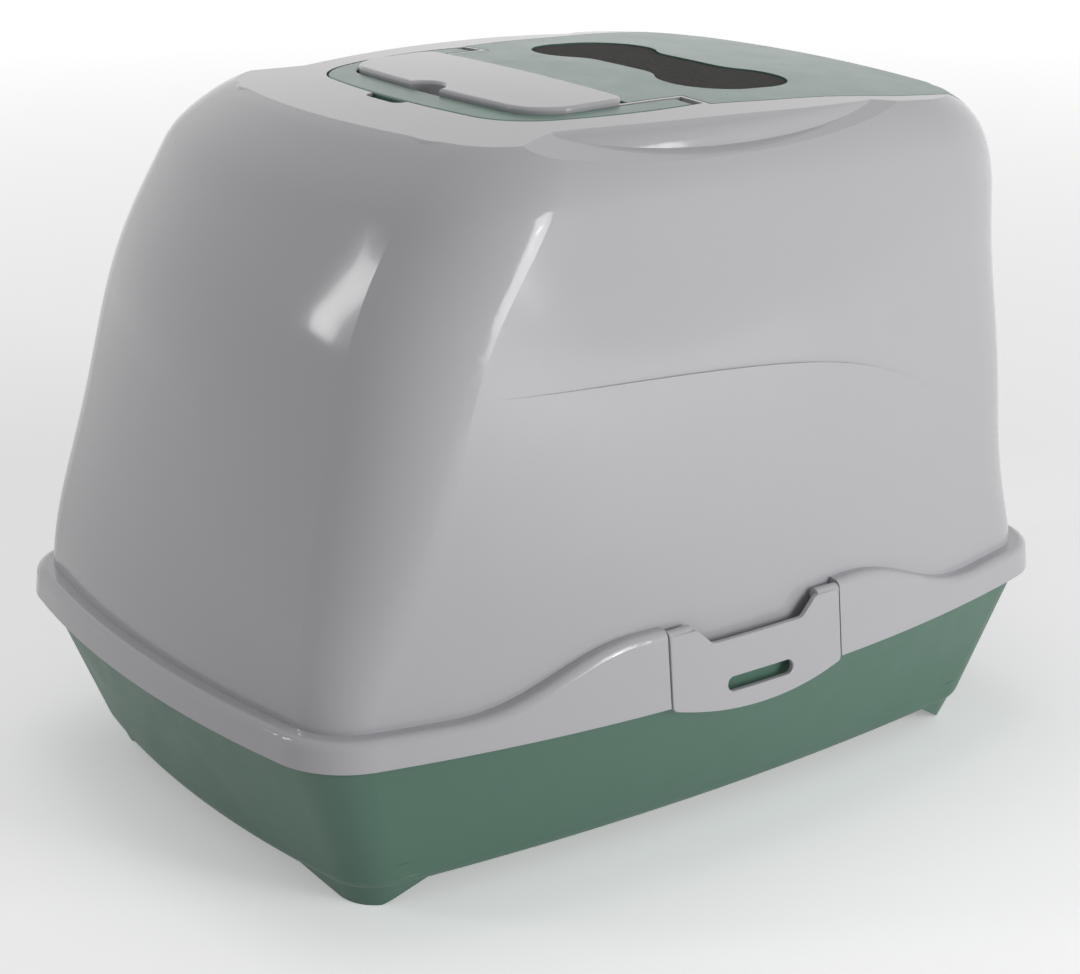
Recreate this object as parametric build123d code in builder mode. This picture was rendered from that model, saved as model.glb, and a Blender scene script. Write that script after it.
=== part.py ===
# Hooded litter box with a flip-up front, a swing door, a carry handle and side clips
# Millimetres, Z up, front towards -Y, origin on the floor under the middle of the box
from build123d import *
from math import atan2, cos, sin, sqrt
import os

os.makedirs("parts", exist_ok=True)



# Skirt of the hood, the widest outline
skirt_half_width = 215.0
skirt_half_length = 287.0
skirt_side_bow = 38.7
skirt_end_bow = 19.8
skirt_corner = 49.0
skirt_bottom = 103.0
skirt_top = 119.8
skirt_lean = 0.106
skirt_edge_round = 5.0
ledge_thickness = 3.3

# Rise of the skirt beside the side clips
swell_rise = 28.2
swell_flat = 74.0
swell_reach = 190.0

# Walls, fits and gaps
wall = 2.8
seat_gap = 0.3
panel_gap = 1.0
lid_rest_gap = 0.3
pin_play = 0.05
soft_gap = 0.3

# Hood wall: its foot inside the skirt, then height, half width, front, rear,
# side, front and rear bow, front and rear corner at each level
wall_inset = 12.0
wall_foot = 106.0
hood_levels = [
    (200, 196.5, -258, 261, 24, 17, 24, 50, 58),
    (270, 190.0, -252, 245, 18, 16, 29, 54, 64),
    (330, 184.5, -248, 227, 13, 16, 34, 61, 68),
    (372, 180.5, -245, 204, 9, 16, 37, 64, 70),
    (390, 176.0, -237.5, 190, 8, 16, 37, 64, 68),
    (401, 168.0, -226, 176, 8, 15, 36, 56, 64),
    (408, 159.5, -214, 165, 8, 14, 35, 50, 58),
    (413, 148.0, -201, 153, 8, 13, 33, 44, 52),
    (416, 132.0, -186, 138, 8, 12, 30, 38, 46),
]
shoulder_levels = 3

# Low swelling on each side wall, under an arched crease: how far it stands out at mid length at the
# foot and at the first wall level, and how much more it bows than the wall
arch_foot_rise = -1.2
arch_rise = 2.05
arch_extra_bow = 3.6
arch_low = 145.0
arch_crease = [(-215, 190), (-160, 238), (-100, 266), (-20, 281), (80, 287), (190, 292)]

# Domed roof
roof_top = 417.5
roof_radius_x = 3000.0
roof_radius_y = 2300.0
roof_half_width = 159.5
roof_front = -222.0
roof_rear = 157.0
roof_side_bow_front = 40.0
roof_side_bow_rear = 47.0
roof_end_bow = 8.0
roof_corner = 30.0

# Rounded edge of the roof: height and how far it has moved inwards
roof_edge = [(392, 0.0), (402, 0.3), (406.5, 1.2), (410, 3.6), (412.3, 7.6), (413.8, 13.5), (417, 21.0)]

# Hollow along each side under the roof's edge: lowest at mid length, sloping outwards
hollow_middle_y = -8.0
hollow_low_z = 400.8
hollow_radius = 1400.0
hollow_slope = 0.3

# Flip-up front: its hinge line, the tongue in the roof and the panel in the front
flip_axis_y = -7.0
flip_axis_z = 406.0
tongue_rear = 8.0
tongue_rear_half = 95.2
tongue_notch_y = -32.0
tongue_side = [(121.0, -32.0), (127.0, -70.0), (130.0, -105.0), (137.0, -137.0), (142.0, -168.0)]
panel_bottom = 150.0
panel_top_z = 380.0
panel_bottom_half = 134.0
panel_corner = 26.0
flip_barrel_radius = 4.5
flip_ear_length = 13.0
flip_pin_radius = 2.0
flip_pin_length = 15.2
flip_rear_gap = 4.5

# Entrance and swing door
entrance_half_width = 105.0
entrance_bottom = 172.0
entrance_top = 366.0
entrance_top_corner = 28.0
entrance_bottom_corner = 40.0
entrance_depth_y = -231.0
door_y = -238.0
door_thickness = 3.0
door_gap = 2.0
door_top_corner = 36.0
door_barrel_radius = 3.8
door_barrel_half = 80.0
door_pin_radius = 1.8
door_pin_overlap = 10.0
door_boss_radius = 5.0
door_boss_end = 99.5
door_rim = 7.0
door_rim_height = 1.0

# Filter window, pad and grille
window_centre_y = -89.0
window_lobe_x = 62.0
window_lobe_width = 70.0
window_lobe_length = 80.0
window_lobe_corner = 34.0
window_waist = 54.0
window_blend = 32.0
pad_margin = 6.0
pad_thickness = 6.5
pad_window_gap = 1.0
pad_sink = 0.9
grille_margin = 8.0
grille_wall = 1.6
grille_floor = 2.0
collar_wall = 2.0
grille_slot_length = 40.0
grille_slot_width = 5.0
grille_slot_pitch = 12.0
grille_slot_count = 13

# Carry handle and the plate inside it
plate_half_width = 99.0
plate_front = 10.0
plate_rear = 80.0
plate_rear_bow = 9.0
plate_front_corner = 10.0
plate_rear_corner = 30.0
plate_rise = 3.5
plate_sink = 1.0
plate_edge_round = 2.0
plate_peg_radius = 3.0
plate_peg_depth = 7.0
handle_half_width = 119.0
handle_rear = 103.0
handle_side_bow = 22.0
handle_rear_bow = 12.0
handle_rear_corner = 46.0
handle_thickness = 9.0
handle_inner_gap = 1.4
handle_pivot_y = -22.0
handle_pivot_z = 410.7
handle_barrel_radius = 4.0
handle_pin_radius = 2.0
handle_pin_overlap = 10.0
handle_end_half_width = 117.0
handle_channel_wall = 2.6
handle_channel_depth = 5.5
handle_edge_round = 1.2
handle_solid_end = 14.0
trough_gap = 1.2
trough_front_gap = 2.4
trough_floor_gap = 1.5
finger_notch_half = 18.0
finger_notch_depth = 8.0
thumb_radius = 15.0

# Side clips
clip_half_length = 62.5
clip_end_gap = 1.0
clip_plate = 3.0
clip_edge_round = 0.8
clip_proud = 0.5
clip_bottom_end = 101.0
clip_bottom_middle = 92.0
clip_valley = 134.0
clip_ear_length = 18.5
clip_slope_length = 11.0
clip_axis_x = 205.2
clip_axis_z = 142.7
clip_barrel_radius = 3.8
clip_barrel_length = 16.0
clip_pin_radius = 1.6
clip_pin_overlap = 12.0
clip_ear_rise = 1.5
clip_boss_length = 11.0
clip_hook_near = 28.0
clip_hook_far = 46.0
clip_hook_reach = 2.5
clip_hook_gap = 0.6
clip_hook_height = 4.2
finger_slot_length = 48.0
finger_slot_height = 8.5
finger_slot_z = 107.5

# Tray
tray_floor_half_width = 167.0
tray_floor_half_length = 245.0
tray_floor_side_bow = 13.4
tray_floor_end_bow = 16.2
tray_floor_corner = 30.0
tray_floor_z = 12.0
tray_shoulder_z = 98.0
tray_rim_inset = 8.5
tray_lip = 3.1
tray_lip_height = 5.0
tray_edge_round = 12.0
foot_inset = 8.0
foot_blend_z = 30.0
foot_blend_inset = 3.0
foot_hollow_inset = 4.5
foot_gap_low_x = 126.0
foot_gap_high_x = 101.0
foot_gap_low_y = 213.0
foot_gap_high_y = 193.0

# Sizes that follow from the ones above
swell_top = skirt_top + swell_rise
tray_height = skirt_top - ledge_thickness - seat_gap
handle_floor = -handle_thickness - trough_floor_gap
flip_opening_rear = tongue_rear + flip_rear_gap
flip_pin_overlap = flip_pin_length - wall - panel_gap
door_pin_z = entrance_top - panel_gap - door_barrel_radius
grille_drop = -wall - pad_thickness - grille_floor - 2 * soft_gap
trough_front = handle_pivot_y - handle_barrel_radius - trough_front_gap

# Lengths that only have to be long enough: reach past every wall, room above and below the roof skin
far = 400.0
above_roof = 20.0
below_roof = 30.0


def corner_shift(inset, half_length, side_bow, half_width, end_bow):
    # How far the meeting point of a side arc and an end arc moves when both move inwards by inset
    side_turn = 2 * atan2(side_bow, half_length)
    end_turn = 2 * atan2(end_bow, half_width)
    spread = cos(side_turn + end_turn)
    shift_x = inset * (cos(end_turn) - sin(side_turn)) / spread
    shift_y = inset * (cos(side_turn) - sin(end_turn)) / spread
    return shift_x, shift_y


def bowed_face(
    z, half_width, front, rear, side_bow, front_bow, rear_bow, front_corner, rear_corner, inset=0.0
):
    # Rounded outline at height z whose four sides bow outwards, moved inwards evenly by inset
    corner_x = half_width - side_bow
    front_y = front + front_bow
    rear_y = rear - rear_bow
    middle_y = (front_y + rear_y) / 2
    half_length = rear_y - middle_y
    front_shift_x, front_shift_y = corner_shift(inset, half_length, side_bow, corner_x, front_bow)
    rear_shift_x, rear_shift_y = corner_shift(inset, half_length, side_bow, corner_x, rear_bow)
    front_x = corner_x - front_shift_x
    rear_x = corner_x - rear_shift_x
    front_y = front_y + front_shift_y
    rear_y = rear_y - rear_shift_y
    side_x = half_width - inset
    with BuildSketch(Plane.XY.offset(z)) as outline:
        with BuildLine():
            if front_bow:
                ThreePointArc((-front_x, front_y), (0, front + inset), (front_x, front_y))
            else:
                Line((-front_x, front_y), (front_x, front_y))
            if side_bow:
                ThreePointArc((front_x, front_y), (side_x, middle_y), (rear_x, rear_y))
                ThreePointArc((-rear_x, rear_y), (-side_x, middle_y), (-front_x, front_y))
            else:
                Line((front_x, front_y), (rear_x, rear_y))
                Line((-rear_x, rear_y), (-front_x, front_y))
            ThreePointArc((rear_x, rear_y), (0, rear - inset), (-rear_x, rear_y))
        make_face()
        fillet(outline.vertices().sort_by(Axis.Y)[:2], radius=front_corner - inset)
        fillet(outline.vertices().sort_by(Axis.Y)[-2:], radius=rear_corner - inset)
    return outline.sketch


def even_face(z, half_width, half_length, side_bow, end_bow, corner, inset):
    # Bowed outline with the same front and rear
    return bowed_face(
        z, half_width, -half_length, half_length, side_bow, end_bow, end_bow, corner, corner, inset
    )


def skirt_face(z, inset):
    # The skirt's outline at height z, moved inwards evenly
    return even_face(
        z, skirt_half_width, skirt_half_length, skirt_side_bow, skirt_end_bow, skirt_corner, inset
    )


def skirt_slab(inset, low, high):
    # Leaning slab that fills the skirt's outline between two heights
    low_inset = inset + (low - skirt_bottom) * skirt_lean
    high_inset = inset + (high - skirt_bottom) * skirt_lean
    with BuildPart() as slab:
        loft(sections=[skirt_face(low, low_inset), skirt_face(high, high_inset)])
    return slab.part


def swell_prism(drop, low):
    # Space under the skirt's top line, which rises to the side clips
    top = skirt_top - drop
    crest = swell_top - drop
    with BuildPart() as prism:
        with BuildSketch(Plane.YZ) as side:
            with BuildLine():
                Line((-far, low), (-far, top))
                Line((-far, top), (-swell_reach, top))
                Spline((-swell_reach, top), (-swell_flat, crest), tangents=((1, 0), (1, 0)))
                Line((-swell_flat, crest), (swell_flat, crest))
                Spline((swell_flat, crest), (swell_reach, top), tangents=((1, 0), (1, 0)))
                Line((swell_reach, top), (far, top))
                Line((far, top), (far, low))
                Line((far, low), (-far, low))
            make_face()
        extrude(side.sketch, amount=far, both=True)
    return prism.part


def level_face(level, inset):
    # One level of the hood wall, moved inwards by inset
    return bowed_face(*level, inset)


def wall_body(inset):
    # Space inside the hood wall, from its foot up into the roof; its shoulder also sinks by inset
    sections = [skirt_face(wall_foot, wall_inset + inset), skirt_face(skirt_top, wall_inset + inset)]
    for level in hood_levels[:-shoulder_levels]:
        sections.append(level_face(level, inset))
    for top_z, *top_sizes in hood_levels[-shoulder_levels:]:
        sections.append(level_face((top_z - inset, *top_sizes), inset))
    with BuildPart() as body:
        loft(sections=sections)
    return body.part


def crown_body(rise):
    # Solid under the domed roof surface, with that surface moved up by rise
    reach = 300.0
    sections = []
    for share in (-1, -1 / 3, 1 / 3, 1):
        y = share * reach
        top = roof_top - roof_radius_y + sqrt((roof_radius_y + rise) ** 2 - y**2)
        edge = top - roof_radius_x - rise + sqrt((roof_radius_x + rise) ** 2 - reach**2)
        with BuildSketch(Plane.XZ.offset(-y)) as section:
            with BuildLine():
                ThreePointArc((-reach, edge), (0, top), (reach, edge))
                Polyline((reach, edge), (reach, 0), (-reach, 0), (-reach, edge))
            make_face()
        sections.append(section.sketch)
    with BuildPart() as body:
        loft(sections=sections)
    return body.part


def roof_layer(face, low_rise, high_rise):
    # Upright block over a face, kept between two surfaces parallel to the roof
    with BuildPart() as layer:
        extrude(face, amount=far)
        add(crown_body(high_rise), mode=Mode.INTERSECT)
        add(crown_body(low_rise), mode=Mode.SUBTRACT)
    return layer.part


def roof_face(z, inset):
    # Outline of the domed roof at height z, moved inwards by inset
    side_x = roof_half_width - inset
    front_x = side_x - roof_side_bow_front
    rear_x = side_x - roof_side_bow_rear
    front = roof_front + inset
    rear = roof_rear - inset
    front_y = front + roof_end_bow
    rear_y = rear - roof_end_bow
    with BuildSketch(Plane.XY.offset(z)) as outline:
        with BuildLine():
            ThreePointArc((-front_x, front_y), (0, front), (front_x, front_y))
            ThreePointArc((front_x, front_y), (side_x, 0), (rear_x, rear_y))
            ThreePointArc((rear_x, rear_y), (0, rear), (-rear_x, rear_y))
            ThreePointArc((-rear_x, rear_y), (-side_x, 0), (-front_x, front_y))
        make_face()
        fillet(outline.vertices(), radius=roof_corner - inset)
    return outline.sketch


def roof_block(inset):
    # The roof with its rounded edge, moved inwards and down by inset
    with BuildPart() as block:
        loft(sections=[roof_face(z - inset, move + inset) for z, move in roof_edge])
    return block.part


def side_hollow(inset):
    # What the hollows under the roof's side edges take off the wall's shoulder
    reach = 0.8 * hollow_radius
    top = hollow_radius - sqrt(hollow_radius**2 - far**2)
    with BuildPart() as hollows:
        for side in (-1, 1):
            start = side * roof_half_width / 2
            low = hollow_low_z - inset + hollow_slope * (roof_half_width - abs(start))
            with BuildSketch(Plane.YZ.offset(start)) as profile:
                with BuildLine():
                    ThreePointArc(
                        (hollow_middle_y - far, low + top),
                        (hollow_middle_y, low),
                        (hollow_middle_y + far, low + top),
                    )
                    Polyline(
                        (hollow_middle_y + far, low + top),
                        (hollow_middle_y + far, low + far),
                        (hollow_middle_y - far, low + far),
                        (hollow_middle_y - far, low + top),
                    )
                make_face()
            extrude(profile.sketch, amount=far, dir=(side, 0, -hollow_slope))
    return hollows.part


def hood_space(inset):
    # Space inside the hood's walls and roof, moved inwards evenly
    with BuildPart() as space:
        add(wall_body(inset))
        add(side_hollow(inset), mode=Mode.SUBTRACT)
        add(roof_block(inset))
        add(crown_body(-inset), mode=Mode.INTERSECT)
    return space.part


def arch_body():
    # Wall moved out a little, more at mid length than towards the ends, for the low side swelling
    sections = []
    for z in (wall_foot, skirt_top):
        sections.append(
            even_face(
                z,
                skirt_half_width + arch_foot_rise,
                skirt_half_length,
                skirt_side_bow + arch_extra_bow,
                skirt_end_bow,
                skirt_corner,
                wall_inset,
            )
        )
    for z, half_width, front, rear, side_bow, *other_sizes in hood_levels[:-shoulder_levels]:
        level = (z, half_width + arch_rise, front, rear, side_bow + arch_extra_bow, *other_sizes)
        sections.append(level_face(level, 0))
    with BuildPart() as body:
        loft(sections=sections)
        with BuildSketch(Plane.YZ) as side:
            with BuildLine():
                Spline(*arch_crease)
                first_y, first_z = arch_crease[0]
                last_y, last_z = arch_crease[-1]
                Polyline((last_y, last_z), (last_y, arch_low), (first_y, arch_low), (first_y, first_z))
            make_face()
        extrude(side.sketch, amount=far, both=True, mode=Mode.INTERSECT)
    return body.part


def tongue_face(rear, notch_gap, side_gap):
    # Plan of the flip-up front from above; the hood's opening uses it with gaps
    notch_x = tongue_rear_half + notch_gap
    notch_y = tongue_notch_y + notch_gap
    side_points = [(x + side_gap, y) for x, y in tongue_side]
    side_points[0] = (side_points[0][0], notch_y)
    last_x, last_y = side_points[-1]
    with BuildSketch(Plane.XY.offset(panel_top_z)) as outline:
        with BuildLine() as half:
            Polyline((0, rear), (notch_x, rear), (notch_x, notch_y), side_points[0])
            Spline(*side_points, tangents=((0.1, -1), (0, -1)))
            Polyline((last_x, last_y), (last_x, -far), (0, -far))
            mirror(half.line, about=Plane.YZ)
        make_face()
    return outline.sketch


def flip_space(rear, notch_gap, side_gap, bottom_gap):
    # Everything that the flip-up front takes out of the hood
    top_half = tongue_side[-1][0] + side_gap
    bottom_half = panel_bottom_half + side_gap
    bottom = panel_bottom - bottom_gap
    with BuildPart() as space:
        extrude(tongue_face(rear, notch_gap, side_gap), amount=far)
        with BuildSketch(Plane.XZ.offset(-tongue_side[-1][1] + 5)) as front:
            with BuildLine():
                Polyline(
                    (-bottom_half, bottom),
                    (bottom_half, bottom),
                    (top_half, panel_top_z),
                    (top_half, roof_top),
                    (-top_half, roof_top),
                    (-top_half, panel_top_z),
                    (-bottom_half, bottom),
                )
            make_face()
            fillet(front.vertices().group_by(Axis.Y)[0], radius=panel_corner)
        extrude(front.sketch, amount=far)
    return space.part


def entrance_face(inset, top_corner, bottom_corner):
    # Entrance outline seen from the front
    with BuildSketch(Plane.XZ.offset(-door_y)) as outline:
        half = entrance_half_width - inset
        low = entrance_bottom + inset
        high = entrance_top - inset
        with BuildLine():
            Polyline((-half, low), (half, low), (half, high), (-half, high), (-half, low))
        make_face()
        fillet(outline.vertices().group_by(Axis.Y)[0], radius=bottom_corner)
        fillet(outline.vertices().group_by(Axis.Y)[-1], radius=top_corner)
    return outline.sketch


def window_face(margin):
    # Bone-shaped window outline, widened by margin
    lobe_width = window_lobe_width + 2 * margin
    lobe_length = window_lobe_length + 2 * margin
    waist = window_waist + 2 * margin
    with BuildSketch(Plane.XY.offset(panel_top_z)) as outline:
        with Locations((-window_lobe_x, window_centre_y), (window_lobe_x, window_centre_y)):
            RectangleRounded(lobe_width, lobe_length, window_lobe_corner + margin)
        with Locations((0, window_centre_y)):
            Rectangle(2 * window_lobe_x, waist)
        inner = outline.vertices().filter_by(lambda v: abs(abs(v.Y - window_centre_y) - waist / 2) < 0.01)
        fillet(inner, radius=window_blend - margin)
    return outline.sketch


def plate_face(margin):
    # Outline of the plate inside the handle, widened by margin
    return bowed_face(
        panel_top_z,
        plate_half_width,
        plate_front,
        plate_rear,
        0,
        0,
        plate_rear_bow,
        plate_front_corner,
        plate_rear_corner,
        -margin,
    )


def handle_face(outer_margin, inner_margin, front):
    # U-shaped band around the plate, cut square at its front
    inner_width = 2 * (plate_half_width + inner_margin)
    with BuildSketch(Plane.XY.offset(panel_top_z)) as outline:
        add(
            even_face(
                0,
                handle_half_width,
                handle_rear,
                handle_side_bow,
                handle_rear_bow,
                handle_rear_corner,
                -outer_margin,
            )
        )
        add(plate_face(inner_margin), mode=Mode.SUBTRACT)
        with Locations((0, plate_front + plate_front_corner)):
            Rectangle(inner_width, 2 * handle_rear, align=(Align.CENTER, Align.MAX), mode=Mode.SUBTRACT)
        with Locations((0, front)):
            Rectangle(far, far, align=(Align.CENTER, Align.MIN), mode=Mode.INTERSECT)
    return outline.sketch


def cross_pin(x, y, z, radius, length):
    # Round pin along X that starts at x, towards the right for a positive length
    with BuildPart(Plane(origin=(x, y, z), x_dir=(0, 1, 0), z_dir=(1, 0, 0))) as pin:
        Cylinder(radius, abs(length), align=(Align.CENTER, Align.CENTER, Align.MIN if length > 0 else Align.MAX))
    return pin.part


def long_pin(x, y, z, radius, length):
    # Round pin along Y that starts at y, towards the rear for a positive length
    with BuildPart(Plane(origin=(x, y, z), x_dir=(1, 0, 0), z_dir=(0, 1, 0))) as pin:
        Cylinder(radius, abs(length), align=(Align.CENTER, Align.CENTER, Align.MIN if length > 0 else Align.MAX))
    return pin.part


def is_rim_edge(edge):
    # True for the outer top edges of the skirt
    box = edge.bounding_box()
    return box.min.Z > skirt_top - 1 and box.size.Z < swell_rise + 1


def make_clip_bosses(pocket_half, slab_top):
    # Blocks beside the clips that hold their pins
    boss_middle = pocket_half + clip_boss_length / 2
    boss_bottom = clip_axis_z - 2 * clip_barrel_radius
    boss_inner = skirt_half_width - wall_inset - 2 * wall
    with BuildPart() as bosses:
        with Locations((0, boss_middle, boss_bottom), (0, -boss_middle, boss_bottom)):
            Box(far * 2, clip_boss_length, far, align=(Align.CENTER, Align.CENTER, Align.MIN))
        add(skirt_slab(wall / 2, skirt_bottom, slab_top), mode=Mode.INTERSECT)
        add(swell_prism(wall / 2, skirt_bottom), mode=Mode.INTERSECT)
        Box(2 * boss_inner, far, far * 2, mode=Mode.SUBTRACT)
    return bosses.part


def make_skirt():
    # Skirt with the clips' pockets and the holes for their pins
    pocket_half = clip_half_length + clip_end_gap
    slab_top = swell_top + skirt_edge_round
    with BuildPart() as hollow:
        add(skirt_slab(wall, skirt_bottom - wall, slab_top))
        add(swell_prism(ledge_thickness, 0), mode=Mode.INTERSECT)
    with BuildPart() as skirt:
        add(skirt_slab(0, skirt_bottom, slab_top))
        add(swell_prism(0, 0), mode=Mode.INTERSECT)
        fillet(skirt.edges().filter_by(is_rim_edge), radius=skirt_edge_round)
        add(hollow.part, mode=Mode.SUBTRACT)
        add(make_clip_bosses(pocket_half, slab_top))
        Box(far * 2, 2 * pocket_half, far * 2, mode=Mode.SUBTRACT)
        for side in (-1, 1):
            for end in (-1, 1):
                depth = end * (clip_boss_length - wall)
                start = end * pocket_half
                hole = long_pin(side * clip_axis_x, start, clip_axis_z, clip_pin_radius + pin_play, depth)
                add(hole, mode=Mode.SUBTRACT)
    return skirt.part


def make_shell():
    # Whole shell before the flip-up front is taken out of it
    with BuildPart() as shell:
        add(make_skirt())
        add(envelope)
        add(arch_body())
        add(hood_space(wall), mode=Mode.SUBTRACT)
    return shell.part


def notch_face(margin):
    # Hollow behind the handle where a finger gets under it
    with BuildSketch(Plane.XY.offset(panel_top_z)) as outline:
        with Locations((0, handle_rear)):
            width = 2 * (finger_notch_half + margin)
            depth = 2 * (finger_notch_depth + margin)
            RectangleRounded(width, depth, finger_notch_depth - 1)
    return outline.sketch


def thumb_face(margin):
    # Round notch in the plate's rear edge, where a thumb gets behind the handle
    with BuildSketch(Plane.XY.offset(panel_top_z)) as outline:
        with Locations((0, plate_rear + thumb_radius / 4)):
            Circle(thumb_radius + margin)
        add(plate_face(0), mode=Mode.INTERSECT)
    return outline.sketch


def make_handle_space():
    # Trough around the handle, with its two finger hollows
    with BuildPart() as space:
        add(roof_layer(handle_face(trough_gap, 0, trough_front), handle_floor, above_roof))
        add(roof_layer(notch_face(0), handle_floor, above_roof))
        add(roof_layer(thumb_face(0), handle_floor, above_roof))
    return space.part


def make_roof_block():
    # Thickening under the roof that holds the handle's trough, the hinge pins and the plate
    block_low = handle_floor - wall
    block_high = -wall / 4
    boss_middle = handle_half_width + trough_gap + handle_pin_overlap / 2
    bracket_front = flip_axis_y - flip_barrel_radius - panel_gap
    bracket_length = flip_opening_rear + wall - bracket_front
    with BuildSketch(Plane.XY.offset(panel_top_z)) as outline:
        add(handle_face(trough_gap + wall, -2 * wall, trough_front - wall))
        add(plate_face(0))
        add(notch_face(wall))
        with Locations((boss_middle, handle_pivot_y), (-boss_middle, handle_pivot_y)):
            Rectangle(handle_pin_overlap, 3 * handle_barrel_radius)
    with BuildSketch(Plane.XY.offset(panel_top_z)) as bracket:
        bracket_x = plate_half_width - wall / 2
        with Locations((bracket_x, bracket_front), (-bracket_x, bracket_front)):
            Rectangle(wall, bracket_length, align=(Align.CENTER, Align.MIN))
    with BuildPart() as block:
        add(roof_layer(outline.sketch, block_low, block_high))
        add(roof_layer(bracket.sketch, block_low - wall, block_high))
    return block.part


def make_plate_hollow():
    # Space under the skin that carries the plate
    with BuildSketch(Plane.XY.offset(panel_top_z)) as outline:
        add(plate_face(-wall))
        with Locations((0, plate_rear + thumb_radius / 4)):
            Circle(thumb_radius + wall, mode=Mode.SUBTRACT)
        with Locations((0, flip_opening_rear + wall)):
            Rectangle(far, far, align=(Align.CENTER, Align.MIN), mode=Mode.INTERSECT)
    return roof_layer(outline.sketch, -below_roof, -plate_sink - wall)


peg_spots = [(-62, 30), (62, 30), (-45, 58), (45, 58)]

envelope = hood_space(0)
shell = make_shell()

with BuildPart() as hood:
    add(shell)
    add(make_roof_block())
    add(make_handle_space(), mode=Mode.SUBTRACT)
    add(make_plate_hollow(), mode=Mode.SUBTRACT)
    add(roof_layer(plate_face(0), -plate_sink, above_roof), mode=Mode.SUBTRACT)
    add(flip_space(flip_opening_rear, panel_gap, panel_gap, lid_rest_gap), mode=Mode.SUBTRACT)
    with Locations([(x, y, panel_top_z) for x, y in peg_spots]):
        on_floor = (Align.CENTER, Align.CENTER, Align.MIN)
        Cylinder(plate_peg_radius + pin_play, far, align=on_floor, mode=Mode.SUBTRACT)
    for side in (-1, 1):
        bracket_side = side * (tongue_rear_half - wall)
        flip_hole = cross_pin(
            bracket_side, flip_axis_y, flip_axis_z, flip_pin_radius + pin_play, side * 3 * wall
        )
        add(flip_hole, mode=Mode.SUBTRACT)
        depth = side * (trough_gap + handle_pin_overlap - wall)
        handle_hole = cross_pin(
            side * handle_end_half_width, handle_pivot_y, handle_pivot_z, handle_pin_radius + pin_play, depth
        )
        add(handle_hole, mode=Mode.SUBTRACT)
hood.part.label = "hood"
export_step(hood.part, "parts/hood.step")


def make_entrance_duct():
    # Short tunnel behind the entrance, with the bosses that the door's pins run in
    outer = entrance_face(-wall, entrance_top_corner + wall, entrance_bottom_corner + wall)
    with BuildPart() as duct:
        extrude(outer, amount=far)
        extrude(outer, amount=door_y - entrance_depth_y)
        for side in (-1, 1):
            length = side * (door_boss_end - door_barrel_half)
            add(cross_pin(side * door_barrel_half, door_y, door_pin_z, door_boss_radius, length))
        add(envelope, mode=Mode.INTERSECT)
    return duct.part


def make_flip_ear(side):
    # Hinge knuckle under one rear corner of the tongue
    start = side * tongue_rear_half
    with BuildSketch(Plane.XY.offset(flip_axis_z)) as web:
        with Locations((start - side * flip_ear_length / 2, flip_axis_y)):
            Rectangle(flip_ear_length, 2 * flip_barrel_radius)
    with BuildPart() as ear:
        add(cross_pin(start, flip_axis_y, flip_axis_z, flip_barrel_radius, -side * flip_ear_length))
        add(roof_layer(web.sketch, -below_roof, -wall / 2))
    return ear.part


collar = grille_margin + soft_gap
with BuildPart() as flip_front:
    add(shell)
    add(flip_space(tongue_rear, 0, 0, 0), mode=Mode.INTERSECT)
    add(make_entrance_duct())
    extrude(
        entrance_face(0, entrance_top_corner, entrance_bottom_corner),
        amount=far,
        both=True,
        mode=Mode.SUBTRACT,
    )
    add(roof_layer(window_face(collar + collar_wall), grille_drop, -wall / 2))
    add(roof_layer(window_face(collar), -below_roof, -wall), mode=Mode.SUBTRACT)
    add(roof_layer(window_face(0), -below_roof, above_roof), mode=Mode.SUBTRACT)
    for side in (-1, 1):
        add(make_flip_ear(side))
        start = side * (tongue_rear_half - flip_pin_overlap)
        flip_hole = cross_pin(start, flip_axis_y, flip_axis_z, flip_pin_radius, side * flip_pin_length)
        add(flip_hole, mode=Mode.SUBTRACT)
        start = side * door_barrel_half
        depth = side * (door_boss_end - door_barrel_half - wall / 2)
        add(cross_pin(start, door_y, door_pin_z, door_pin_radius + pin_play, depth), mode=Mode.SUBTRACT)
flip_front.part.label = "flip_front"
export_step(flip_front.part, "parts/flip_front.step")

with BuildPart() as swing_door:
    extrude(
        entrance_face(door_gap, door_top_corner, entrance_bottom_corner - door_gap),
        amount=door_thickness / 2,
        both=True,
    )
    with Locations((0, door_y, door_pin_z)):
        Box(far * 2, far, far, align=(Align.CENTER, Align.CENTER, Align.MIN), mode=Mode.SUBTRACT)
    with BuildSketch(Plane.XZ.offset(door_thickness / 2 - door_y)) as panel:
        half = entrance_half_width - door_gap - door_rim
        low = entrance_bottom + door_gap + door_rim
        high = door_pin_z - 2 * door_barrel_radius
        with Locations((0, (low + high) / 2)):
            RectangleRounded(2 * half, high - low, entrance_bottom_corner - door_gap - door_rim)
    extrude(amount=-door_rim_height, mode=Mode.SUBTRACT)
    add(cross_pin(-door_barrel_half, door_y, door_pin_z, door_barrel_radius, 2 * door_barrel_half))
    for side in (-1, 1):
        start = side * (door_barrel_half - door_pin_overlap)
        add(cross_pin(start, door_y, door_pin_z, door_pin_radius, side * far), mode=Mode.SUBTRACT)
swing_door.part.label = "swing_door"
export_step(swing_door.part, "parts/swing_door.step")

with BuildPart() as filter_pad:
    add(roof_layer(window_face(pad_margin), -wall - soft_gap - pad_thickness, -wall - soft_gap))
    add(roof_layer(window_face(-pad_window_gap), -wall - pad_thickness, -pad_sink))
filter_pad.part.label = "filter_pad"
export_step(filter_pad.part, "parts/filter_pad.step")

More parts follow.
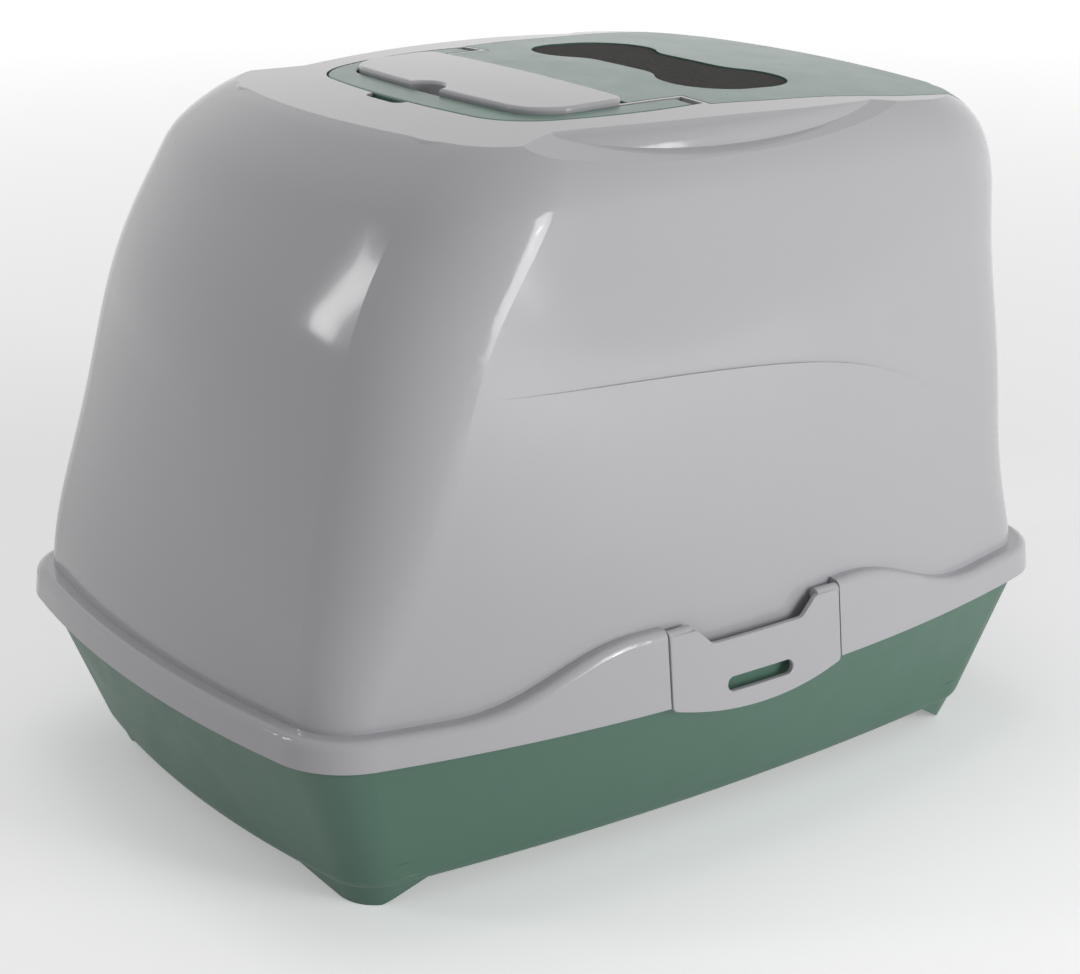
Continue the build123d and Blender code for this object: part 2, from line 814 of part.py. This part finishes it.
with BuildPart() as filter_grille:
    add(roof_layer(window_face(grille_margin), grille_drop, -wall))
    well = window_face(grille_margin - grille_wall)
    add(roof_layer(well, grille_drop + grille_floor, above_roof), mode=Mode.SUBTRACT)
    with BuildSketch(Plane.XY.offset(panel_top_z)):
        with Locations((0, window_centre_y)):
            with GridLocations(grille_slot_pitch, 1, grille_slot_count, 1):
                SlotOverall(grille_slot_length, grille_slot_width, rotation=90)
    extrude(amount=far, mode=Mode.SUBTRACT)
filter_grille.part.label = "filter_grille"
export_step(filter_grille.part, "parts/filter_grille.step")

with BuildPart() as carry_handle:
    add(roof_layer(handle_face(0, handle_inner_gap, handle_pivot_y), -handle_thickness, 0))
    fillet(carry_handle.faces().sort_by(Axis.Z)[-1].edges(), radius=handle_edge_round)
    arm_inner = plate_half_width + handle_inner_gap
    for side in (-1, 1):
        width = side * (handle_end_half_width - arm_inner)
        add(cross_pin(side * arm_inner, handle_pivot_y, handle_pivot_z, handle_barrel_radius, width))
    channel = handle_face(
        -handle_channel_wall, handle_inner_gap + handle_channel_wall, handle_pivot_y + handle_solid_end
    )
    add(roof_layer(channel, -below_roof, handle_channel_depth - handle_thickness), mode=Mode.SUBTRACT)
    for side in (-1, 1):
        start = side * (handle_end_half_width - handle_pin_overlap)
        pin_hole = cross_pin(start, handle_pivot_y, handle_pivot_z, handle_pin_radius, side * far)
        add(pin_hole, mode=Mode.SUBTRACT)
carry_handle.part.label = "carry_handle"
export_step(carry_handle.part, "parts/carry_handle.step")

with BuildPart() as handle_plate:
    add(roof_layer(plate_face(0), -plate_sink, plate_rise))
    add(roof_layer(thumb_face(0), -below_roof, above_roof), mode=Mode.SUBTRACT)
    fillet(handle_plate.faces().sort_by(Axis.Z)[-1].edges(), radius=plate_edge_round)
    with Locations([(x, y, roof_top - plate_peg_depth) for x, y in peg_spots]):
        height = plate_peg_depth - plate_sink / 2
        Cylinder(plate_peg_radius, height, align=(Align.CENTER, Align.CENTER, Align.MIN))
handle_plate.part.label = "handle_plate"
export_step(handle_plate.part, "parts/handle_plate.step")


def make_clip_hooks():
    # Two beads inside the left clip that catch under the tray's lip, on either side of the finger slot
    lip_x = skirt_half_width - tray_rim_inset + tray_lip
    inner_x = lip_x - clip_hook_reach
    outer_x = skirt_half_width - clip_plate + clip_proud
    top = tray_height - tray_lip_height - clip_hook_gap
    with BuildPart() as hooks:
        for start in (clip_hook_near, -clip_hook_far):
            with BuildSketch(Plane.XZ.offset(-start)) as profile:
                with BuildLine():
                    Polyline(
                        (-inner_x, top),
                        (-outer_x, top),
                        (-outer_x, top - 2 * clip_hook_height),
                        (-inner_x, top - clip_hook_height / 2),
                        (-inner_x, top),
                    )
                make_face()
            extrude(profile.sketch, amount=clip_hook_near - clip_hook_far)
    return hooks.part


with BuildPart() as side_clip_left:
    low = clip_bottom_middle - 1
    high = clip_axis_z + clip_barrel_radius
    add(skirt_slab(-clip_proud, low, high))
    add(skirt_slab(clip_plate - clip_proud, low, high), mode=Mode.SUBTRACT)
    ear_top = clip_axis_z + clip_ear_rise
    ear_foot = clip_half_length - clip_ear_length
    with BuildSketch(Plane.YZ) as side_view:
        with BuildLine():
            ThreePointArc(
                (-clip_half_length, clip_bottom_end),
                (0, clip_bottom_middle),
                (clip_half_length, clip_bottom_end),
            )
            Polyline(
                (clip_half_length, clip_bottom_end),
                (clip_half_length, ear_top),
                (ear_foot, ear_top),
                (ear_foot - clip_slope_length, clip_valley),
                (clip_slope_length - ear_foot, clip_valley),
                (-ear_foot, ear_top),
                (-clip_half_length, ear_top),
                (-clip_half_length, clip_bottom_end),
            )
        make_face()
        fillet(side_view.vertices().filter_by(lambda v: abs(v.X) < ear_foot + 1), radius=6)
        fillet(side_view.vertices().group_by(Axis.Y)[0], radius=4)
        with Locations((0, finger_slot_z)):
            SlotOverall(finger_slot_length, finger_slot_height, mode=Mode.SUBTRACT)
    extrude(amount=-far, mode=Mode.INTERSECT)
    outer_face = side_clip_left.faces().sort_by(SortBy.AREA)[-2:].sort_by(Axis.X)[0]
    fillet(outer_face.edges(), radius=clip_edge_round)
    add(make_clip_hooks())
    for end in (-1, 1):
        start = end * (clip_half_length - clip_barrel_length)
        add(long_pin(-clip_axis_x, start, clip_axis_z, clip_barrel_radius, end * clip_barrel_length))
        start = end * (clip_half_length - clip_pin_overlap)
        add(long_pin(-clip_axis_x, start, clip_axis_z, clip_pin_radius, end * far), mode=Mode.SUBTRACT)
side_clip_left.part.label = "side_clip_left"
export_step(side_clip_left.part, "parts/side_clip_left.step")

with BuildPart() as side_clip_right:
    mirror(side_clip_left.part, about=Plane.YZ)
side_clip_right.part.label = "side_clip_right"
export_step(side_clip_right.part, "parts/side_clip_right.step")


def tray_floor_face(z, inset):
    # Foot of the tray's walls, moved inwards evenly
    return even_face(
        z,
        tray_floor_half_width,
        tray_floor_half_length,
        tray_floor_side_bow,
        tray_floor_end_bow,
        tray_floor_corner,
        inset,
    )


def tray_space(inset, low):
    # Space inside the tray's walls, rounded at its foot
    shoulder = skirt_face(tray_shoulder_z, tray_rim_inset + inset)
    with BuildPart() as space:
        loft(sections=[tray_floor_face(low, inset), shoulder])
        fillet(space.faces().sort_by(Axis.Z)[0].edges(), radius=tray_edge_round - inset)
        extrude(shoulder, amount=tray_height - tray_shoulder_z)
    return space.part


def foot_space(inset, low, blend_inset):
    # The four feet as one space, blended into the corners of the walls
    rise = (foot_blend_z - tray_floor_z) / (tray_shoulder_z - tray_floor_z)
    wall_run = skirt_half_width - tray_rim_inset - tray_floor_half_width
    blend = blend_inset - rise * wall_run
    with BuildPart() as feet:
        loft(sections=[tray_floor_face(low, foot_inset + inset), tray_floor_face(foot_blend_z, blend + inset)])
        for plane, low_half, high_half in (
            (Plane.XZ, foot_gap_low_x, foot_gap_high_x),
            (Plane.YZ, foot_gap_low_y, foot_gap_high_y),
        ):
            run = (low_half - high_half) / tray_floor_z
            wide = low_half + inset + run * tray_floor_z
            narrow = low_half + inset - 2 * run * foot_blend_z
            with BuildSketch(plane) as gap:
                with BuildLine():
                    Polyline(
                        (-wide, -tray_floor_z),
                        (wide, -tray_floor_z),
                        (narrow, 2 * foot_blend_z),
                        (-narrow, 2 * foot_blend_z),
                        (-wide, -tray_floor_z),
                    )
                make_face()
            extrude(gap.sketch, amount=far, both=True, mode=Mode.SUBTRACT)
    return feet.part


with BuildPart() as tray:
    add(tray_space(0, tray_floor_z))
    add(foot_space(0, 0, foot_blend_inset))
    extrude(skirt_face(tray_height - tray_lip_height, tray_rim_inset - tray_lip), amount=tray_lip_height)
    add(tray_space(wall, tray_floor_z + wall), mode=Mode.SUBTRACT)
    rim_inside = skirt_face(tray_height - wall, tray_rim_inset + wall)
    extrude(rim_inside, amount=far, mode=Mode.SUBTRACT)
    add(foot_space(wall, wall, foot_hollow_inset), mode=Mode.SUBTRACT)
tray.part.label = "tray"
export_step(tray.part, "parts/tray.step")

for side, side_name in ((-1, "left"), (1, "right")):
    with BuildPart() as flip_pin:
        start = side * (tongue_rear_half - flip_pin_overlap)
        add(cross_pin(start, flip_axis_y, flip_axis_z, flip_pin_radius, side * flip_pin_length))
    flip_pin.part.label = f"flip_pin_{side_name}"
    export_step(flip_pin.part, f"parts/flip_pin_{side_name}.step")

    with BuildPart() as door_pin:
        start = side * (door_barrel_half - door_pin_overlap)
        length = side * (door_pin_overlap + door_boss_end - door_barrel_half - wall)
        add(cross_pin(start, door_y, door_pin_z, door_pin_radius, length))
    door_pin.part.label = f"door_pin_{side_name}"
    export_step(door_pin.part, f"parts/door_pin_{side_name}.step")

    with BuildPart() as handle_pin:
        start = side * (handle_end_half_width - handle_pin_overlap)
        length = side * (2 * handle_pin_overlap - wall)
        add(cross_pin(start, handle_pivot_y, handle_pivot_z, handle_pin_radius, length))
    handle_pin.part.label = f"handle_pin_{side_name}"
    export_step(handle_pin.part, f"parts/handle_pin_{side_name}.step")

    for end, end_name in ((-1, "front"), (1, "rear")):
        with BuildPart() as clip_pin:
            start = end * (clip_half_length - clip_pin_overlap)
            length = end * (clip_pin_overlap + clip_end_gap + clip_boss_length - 2 * wall)
            add(long_pin(side * clip_axis_x, start, clip_axis_z, clip_pin_radius, length))
        clip_pin.part.label = f"clip_pin_{side_name}_{end_name}"
        export_step(clip_pin.part, f"parts/clip_pin_{side_name}_{end_name}.step")
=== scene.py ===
import math

import bpy
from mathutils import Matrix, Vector

# All sizes and places are in metres; only the camera's lens and sensor are in millimetres
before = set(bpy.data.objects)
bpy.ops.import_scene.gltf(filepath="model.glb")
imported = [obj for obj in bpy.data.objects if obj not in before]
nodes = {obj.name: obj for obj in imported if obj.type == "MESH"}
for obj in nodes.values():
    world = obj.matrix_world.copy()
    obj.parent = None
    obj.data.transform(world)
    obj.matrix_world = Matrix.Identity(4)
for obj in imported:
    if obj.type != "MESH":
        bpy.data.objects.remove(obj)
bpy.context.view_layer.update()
scene = bpy.context.scene
print("frame loaded:", len(nodes), "nodes")


def hexColour(text):
    # sRGB hex to the linear values that shader sockets take
    parts = [int(text[i:i + 2], 16) / 255 for i in (0, 2, 4)]
    linear = [p / 12.92 if p <= 0.04045 else ((p + 0.055) / 1.055) ** 2.4 for p in parts]
    return (*linear, 1.0)


def newMaterial(name):
    material = bpy.data.materials.new(name)
    material.use_nodes = True
    material.node_tree.nodes.clear()
    return material, material.node_tree


def addNode(tree, kind, settings=None, links=None):
    # One node with its plain settings, socket values and incoming links
    node = tree.nodes.new(kind)
    for key, value in (settings or {}).items():
        if isinstance(key, str) and hasattr(node, key):
            setattr(node, key, value)
        else:
            node.inputs[key].default_value = value
    for key, source in (links or {}).items():
        tree.links.new(source, node.inputs[key])
    return node


# What all the moulded pieces share: the plastic's IOR, how busy each pattern is, and the coat's gloss
moulding = {
    "ior": 1.49,
    "driftDetail": 3.0,
    "rubDetail": 6.0,
    "rubRoughness": 0.65,
    "rubLow": 0.3,
    "rubHigh": 0.75,
    "grainDetail": 2.0,
    "waveDetail": 1.0,
    "coatRoughness": 0.05,
}

# The Mix node repeats its sockets' names for each data type, so its colour ones go by number
mixFactor = 0
mixNear = 6
mixFar = 7
mixResult = 2


def mouldedPlastic(name, look):
    # Injection-moulded polypropylene: a little colour drift, rub marks in the gloss, the mould's grain
    # and a faint wave where the wall shrank
    material, tree = newMaterial(name)
    place = addNode(tree, "ShaderNodeTexCoord").outputs["Object"]
    drift = addNode(
        tree,
        "ShaderNodeTexNoise",
        {"Scale": 1 / look["driftSize"], "Detail": moulding["driftDetail"]},
        {"Vector": place},
    )
    tint = addNode(
        tree,
        "ShaderNodeMix",
        {
            "data_type": "RGBA",
            "clamp_factor": True,
            mixNear: hexColour(look["colour"]),
            mixFar: hexColour(look["colourFar"]),
        },
        {mixFactor: drift.outputs["Fac"]},
    )
    rub = addNode(
        tree,
        "ShaderNodeTexNoise",
        {
            "Scale": 1 / look["rubSize"],
            "Detail": moulding["rubDetail"],
            "Roughness": moulding["rubRoughness"],
        },
        {"Vector": place},
    )
    gloss = addNode(
        tree,
        "ShaderNodeMapRange",
        {
            "From Min": moulding["rubLow"],
            "From Max": moulding["rubHigh"],
            "To Min": look["roughness"],
            "To Max": look["roughnessWorn"],
        },
        {"Value": rub.outputs["Fac"]},
    )
    grain = addNode(
        tree,
        "ShaderNodeTexNoise",
        {"Scale": 1 / look["grainSize"], "Detail": moulding["grainDetail"]},
        {"Vector": place},
    )
    fine = addNode(
        tree,
        "ShaderNodeBump",
        {"Strength": look["grainStrength"], "Distance": look["grainDepth"]},
        {"Height": grain.outputs["Fac"]},
    )
    wave = addNode(
        tree,
        "ShaderNodeTexNoise",
        {"Scale": 1 / look["waveSize"], "Detail": moulding["waveDetail"]},
        {"Vector": place},
    )
    surface = addNode(
        tree,
        "ShaderNodeBump",
        {"Strength": look["waveStrength"], "Distance": look["waveDepth"]},
        {"Height": wave.outputs["Fac"], "Normal": fine.outputs["Normal"]},
    )
    body = addNode(
        tree,
        "ShaderNodeBsdfPrincipled",
        {
            "IOR": moulding["ior"],
            "Coat Weight": look["coat"],
            "Coat Roughness": moulding["coatRoughness"],
        },
        {
            "Base Color": tint.outputs[mixResult],
            "Roughness": gloss.outputs["Result"],
            "Normal": surface.outputs["Normal"],
        },
    )
    addNode(tree, "ShaderNodeOutputMaterial", links={"Surface": body.outputs["BSDF"]})
    return material


def giveMaterial(material, names):
    for name in names:
        mesh = nodes[name].data
        mesh.materials.clear()
        mesh.materials.append(material)


# Hood, plate and clips: light grey polypropylene from a polished mould, which leaves a gloss that
# mirrors the lamps and the room with slightly soft edges
hoodPlastic = {
    "colour": "B9B7BB",
    "colourFar": "B5B4B8",
    "driftSize": 0.12,
    "roughness": 0.1,
    "roughnessWorn": 0.15,
    "rubSize": 0.02,
    "grainSize": 0.0006,
    "grainStrength": 0.04,
    "grainDepth": 0.00005,
    "waveSize": 0.05,
    "waveStrength": 0.12,
    "waveDepth": 0.0004,
    "coat": 0.15,
}
greyPolished = mouldedPlastic("polishedGreyPolypropylene", hoodPlastic)
giveMaterial(greyPolished, ["hood", "handle_plate", "side_clip_left", "side_clip_right"])

# Tray: grey green polypropylene from a spark-eroded mould, which leaves it satin with a fine grain,
# drawn coarser than the real one so that it shows
trayPlastic = {
    "colour": "557768",
    "colourFar": "507162",
    "driftSize": 0.15,
    "roughness": 0.42,
    "roughnessWorn": 0.52,
    "rubSize": 0.03,
    "grainSize": 0.0008,
    "grainStrength": 0.25,
    "grainDepth": 0.0001,
    "waveSize": 0.07,
    "waveStrength": 0.1,
    "waveDepth": 0.0003,
    "coat": 0.0,
}
greenSatin = mouldedPlastic("satinGreenPolypropylene", trayPlastic)
giveMaterial(greenSatin, ["tray"])

# Flip-up front, handle and grille: a slightly paler green from a smoother mould, with more gloss
topPlastic = dict(
    trayPlastic,
    colour="5A7D6F",
    colourFar="55786A",
    roughness=0.26,
    roughnessWorn=0.34,
    grainStrength=0.1,
    coat=0.1,
)
greenSmooth = mouldedPlastic("smoothGreenPolypropylene", topPlastic)
giveMaterial(greenSmooth, ["flip_front", "carry_handle", "filter_grille"])

# Hinge pins: darker grey polypropylene, left unpolished and so dull
pinPlastic = dict(
    hoodPlastic,
    colour="A3A2A5",
    colourFar="9C9B9E",
    roughness=0.4,
    roughnessWorn=0.5,
    coat=0.0,
)
greyPlain = mouldedPlastic("plainGreyPolypropylene", pinPlastic)
giveMaterial(greyPlain, [name for name in nodes if "_pin_" in name])
print("moulded plastics done")

# Filter pad: needled carbon fibre mat, black with short brownish grey fibres that scatter the light.
# Single fibres are too fine to show, so bundles 3.6 mm long and a fifth as thick are drawn
padLook = {
    "colour": "1B1917",
    "fibre": "4A403B",
    "bundleLength": 0.0036,
    "bundleShape": (1.0, 5.0, 5.0),
    "bundleTurn": (0.3, 0.2, 0.7),
    "bundleDetail": 5.0,
    "bundleRoughness": 0.7,
    "bundleLow": 0.5,
    "bundleHigh": 0.78,
    "bundleStrength": 0.9,
    "bundleDepth": 0.0009,
    "clumpSize": 0.006,
    "clumpDetail": 4.0,
    "clumpStrength": 0.6,
    "clumpDepth": 0.0015,
    "roughness": 0.95,
    "ior": 1.45,
    "specular": 0.25,
    "sheen": 0.15,
    "sheenRoughness": 0.5,
}


def needledMat(name, look):
    material, tree = newMaterial(name)
    place = addNode(tree, "ShaderNodeTexCoord").outputs["Object"]
    clump = addNode(
        tree,
        "ShaderNodeTexNoise",
        {"Scale": 1 / look["clumpSize"], "Detail": look["clumpDetail"]},
        {"Vector": place},
    )
    bend = addNode(
        tree,
        "ShaderNodeVectorMath",
        {"operation": "MULTIPLY_ADD", 1: (look["clumpSize"],) * 3},
        {0: clump.outputs["Color"], 2: place},
    )
    stretch = addNode(
        tree,
        "ShaderNodeMapping",
        {"Scale": look["bundleShape"], "Rotation": look["bundleTurn"]},
        {"Vector": bend.outputs["Vector"]},
    )
    bundle = addNode(
        tree,
        "ShaderNodeTexNoise",
        {
            "Scale": 1 / look["bundleLength"],
            "Detail": look["bundleDetail"],
            "Roughness": look["bundleRoughness"],
        },
        {"Vector": stretch.outputs["Vector"]},
    )
    ramp = addNode(tree, "ShaderNodeValToRGB", links={"Fac": bundle.outputs["Fac"]})
    ramp.color_ramp.elements[0].position = look["bundleLow"]
    ramp.color_ramp.elements[0].color = hexColour(look["colour"])
    ramp.color_ramp.elements[1].position = look["bundleHigh"]
    ramp.color_ramp.elements[1].color = hexColour(look["fibre"])
    bump = addNode(
        tree,
        "ShaderNodeBump",
        {"Strength": look["bundleStrength"], "Distance": look["bundleDepth"]},
        {"Height": bundle.outputs["Fac"]},
    )
    lump = addNode(
        tree,
        "ShaderNodeBump",
        {"Strength": look["clumpStrength"], "Distance": look["clumpDepth"]},
        {"Height": clump.outputs["Fac"], "Normal": bump.outputs["Normal"]},
    )
    body = addNode(
        tree,
        "ShaderNodeBsdfPrincipled",
        {
            "Roughness": look["roughness"],
            "IOR": look["ior"],
            "Specular IOR Level": look["specular"],
            "Sheen Weight": look["sheen"],
            "Sheen Roughness": look["sheenRoughness"],
        },
        {"Base Color": ramp.outputs["Color"], "Normal": lump.outputs["Normal"]},
    )
    addNode(tree, "ShaderNodeOutputMaterial", links={"Surface": body.outputs["BSDF"]})
    return material


giveMaterial(needledMat("needledCarbonMat", padLook), ["filter_pad"])

# Door: smoked see-through polystyrene, moulded smooth, clear enough to show the cabin dimly
doorLook = {
    "colour": "8E9291",
    "roughness": 0.08,
    "roughnessWorn": 0.24,
    "rubSize": 0.015,
    "rubDetail": 7.0,
    "rubRoughness": 0.7,
    "rubLow": 0.35,
    "rubHigh": 0.8,
    "ior": 1.58,
    "transmission": 0.82,
}


def smokedSheet(name, look):
    material, tree = newMaterial(name)
    place = addNode(tree, "ShaderNodeTexCoord").outputs["Object"]
    rub = addNode(
        tree,
        "ShaderNodeTexNoise",
        {
            "Scale": 1 / look["rubSize"],
            "Detail": look["rubDetail"],
            "Roughness": look["rubRoughness"],
        },
        {"Vector": place},
    )
    gloss = addNode(
        tree,
        "ShaderNodeMapRange",
        {
            "From Min": look["rubLow"],
            "From Max": look["rubHigh"],
            "To Min": look["roughness"],
            "To Max": look["roughnessWorn"],
        },
        {"Value": rub.outputs["Fac"]},
    )
    body = addNode(
        tree,
        "ShaderNodeBsdfPrincipled",
        {
            "Base Color": hexColour(look["colour"]),
            "IOR": look["ior"],
            "Transmission Weight": look["transmission"],
        },
        {"Roughness": gloss.outputs["Result"]},
    )
    addNode(tree, "ShaderNodeOutputMaterial", links={"Surface": body.outputs["BSDF"]})
    return material


giveMaterial(smokedSheet("smokedPolystyrene", doorLook), ["swing_door"])
print("filter mat and door done")

# Floor: white studio paper, matt and faintly mottled, that keeps the soft shadow. Where it is seen
# directly it glows a little, and more with distance from the object, so that it reads nearly white
paperLook = {
    "size": 12.0,
    "colour": "FFFFFF",
    "mottleScale": 3.0,
    "mottleDetail": 4.0,
    "mottleLow": 0.985,
    "mottleHigh": 1.0,
    "nearReach": 0.7,
    "farReach": 3.0,
    "lift": 0.3,
    "liftFar": 0.75,
}


def seenDirectly(tree):
    # 1 for rays that show the background: from the camera, in gloss or through clear plastic
    path = addNode(tree, "ShaderNodeLightPath")
    mirrored = addNode(
        tree,
        "ShaderNodeMath",
        {"operation": "MAXIMUM"},
        {0: path.outputs["Is Camera Ray"], 1: path.outputs["Is Glossy Ray"]},
    )
    seen = addNode(
        tree,
        "ShaderNodeMath",
        {"operation": "MAXIMUM"},
        {0: mirrored.outputs["Value"], 1: path.outputs["Is Transmission Ray"]},
    )
    return seen.outputs["Value"]


def studioPaper(name, look):
    material, tree = newMaterial(name)
    place = addNode(tree, "ShaderNodeTexCoord").outputs["Object"]
    mottle = addNode(
        tree,
        "ShaderNodeTexNoise",
        {"Scale": look["mottleScale"], "Detail": look["mottleDetail"]},
        {"Vector": place},
    )
    shade = addNode(
        tree,
        "ShaderNodeMapRange",
        {"To Min": look["mottleLow"], "To Max": look["mottleHigh"]},
        {"Value": mottle.outputs["Fac"]},
    )
    tone = addNode(
        tree,
        "ShaderNodeVectorMath",
        {"operation": "SCALE", 0: hexColour(look["colour"])[:3]},
        {"Scale": shade.outputs["Result"]},
    )
    paper = addNode(tree, "ShaderNodeBsdfDiffuse", links={"Color": tone.outputs["Vector"]})
    reach = addNode(tree, "ShaderNodeVectorMath", {"operation": "LENGTH"}, {0: place})
    spread = addNode(
        tree,
        "ShaderNodeMapRange",
        {
            "From Min": look["nearReach"],
            "From Max": look["farReach"],
            "To Min": look["lift"],
            "To Max": look["liftFar"],
        },
        {"Value": reach.outputs["Value"]},
    )
    lift = addNode(
        tree,
        "ShaderNodeMath",
        {"operation": "MULTIPLY"},
        {0: seenDirectly(tree), 1: spread.outputs["Result"]},
    )
    glow = addNode(tree, "ShaderNodeEmission", links={"Strength": lift.outputs["Value"]})
    both = addNode(
        tree,
        "ShaderNodeAddShader",
        links={0: paper.outputs["BSDF"], 1: glow.outputs["Emission"]},
    )
    addNode(tree, "ShaderNodeOutputMaterial", links={"Surface": both.outputs["Shader"]})
    return material


bpy.ops.mesh.primitive_plane_add(size=paperLook["size"], location=(0, 0, 0))
floor = bpy.context.active_object
floor.name = "floor"
floor.data.materials.append(studioPaper("paleStudioPaper", paperLook))

# World: an even white room that lights dimly, and shows full white where it is seen directly
roomLight = {"colour": "FFFFFF", "strength": 0.26, "strengthSeen": 1.0}
world = bpy.data.worlds.new("studioRoom")
scene.world = world
world.use_nodes = True
worldTree = world.node_tree
worldTree.nodes.clear()
strength = addNode(
    worldTree,
    "ShaderNodeMapRange",
    {"To Min": roomLight["strength"], "To Max": roomLight["strengthSeen"]},
    {"Value": seenDirectly(worldTree)},
)
room = addNode(
    worldTree,
    "ShaderNodeBackground",
    {"Color": hexColour(roomLight["colour"])},
    {"Strength": strength.outputs["Result"]},
)
addNode(worldTree, "ShaderNodeOutputWorld", links={"Surface": room.outputs["Background"]})

# Lamps: a wide key towards the near long side and a weaker one over the roof light the plastic without
# being mirrored; the softboxes that show in its gloss are smaller and weaker
wallSpot = (-0.175, 0.126, 0.37)  # where the side softbox is mirrored in the near wall
rearSpot = (-0.12, 0.206, 0.34)  # where the rear softbox is mirrored in the rear wall
softboxes = {
    "sideKey": {
        "place": (-2.05, -0.98, 0.62),
        "aim": (-0.15, 0.05, 0.3),
        "width": 1.2,
        "height": 1.2,
        "power": 17.0,
        "mirrored": False,
    },
    "roofKey": {
        "place": (0.3, 0.2, 2.4),
        "aim": (0, 0, 0.3),
        "width": 1.6,
        "height": 1.6,
        "power": 9.0,
        "mirrored": False,
    },
    "sideSoftbox": {
        "place": (-2.05, -0.52, 0.56),
        "aim": wallSpot,
        "width": 0.45,
        "height": 0.95,
        "power": 8.0,
        "mirrored": True,
    },
    "sideSoftboxCore": {
        "place": (-1.95, -0.49, 0.46),
        "aim": wallSpot,
        "width": 0.1,
        "height": 0.12,
        "power": 0.7,
        "mirrored": True,
    },
    "rearSoftbox": {
        "place": (0.85, 1.74, 1.12),
        "aim": rearSpot,
        "width": 0.2,
        "height": 0.6,
        "power": 3.0,
        "mirrored": True,
    },
}


def addSoftbox(name, look):
    lampData = bpy.data.lights.new(name, "AREA")
    lampData.shape = "RECTANGLE"
    lampData.size = look["width"]
    lampData.size_y = look["height"]
    lampData.energy = look["power"]
    lamp = bpy.data.objects.new(name, lampData)
    scene.collection.objects.link(lamp)
    lamp.location = look["place"]
    towards = Vector(look["aim"]) - Vector(look["place"])
    lamp.rotation_euler = towards.to_track_quat("-Z", "Y").to_euler()
    lamp.visible_glossy = look["mirrored"]


for name, look in softboxes.items():
    addSoftbox(name, look)
print("stage and lamps done")

# Camera: fitted to the photograph; angles in degrees, lens and sensor in millimetres
cameraFit = {
    "azimuth": 233.9067,
    "elevation": 19.3555,
    "distance": 1.566339,
    "target": (0.010669, -0.009502, 0.154449),
    "lens": 82.859,
    "sensor": 36.0,
    "farClip": 60.0,
}
azimuth = math.radians(cameraFit["azimuth"])
elevation = math.radians(cameraFit["elevation"])
back = Vector((
    math.sin(azimuth) * math.cos(elevation),
    -math.cos(azimuth) * math.cos(elevation),
    math.sin(elevation),
))
cameraData = bpy.data.cameras.new("photoCamera")
cameraData.lens = cameraFit["lens"]
cameraData.sensor_width = cameraFit["sensor"]
cameraData.clip_end = cameraFit["farClip"]
photoCamera = bpy.data.objects.new("photoCamera", cameraData)
scene.collection.objects.link(photoCamera)
photoCamera.location = Vector(cameraFit["target"]) + back * cameraFit["distance"]
photoCamera.rotation_euler = (-back).to_track_quat("-Z", "Y").to_euler()
scene.camera = photoCamera
scene.view_settings.view_transform = "Standard"
print("camera done")
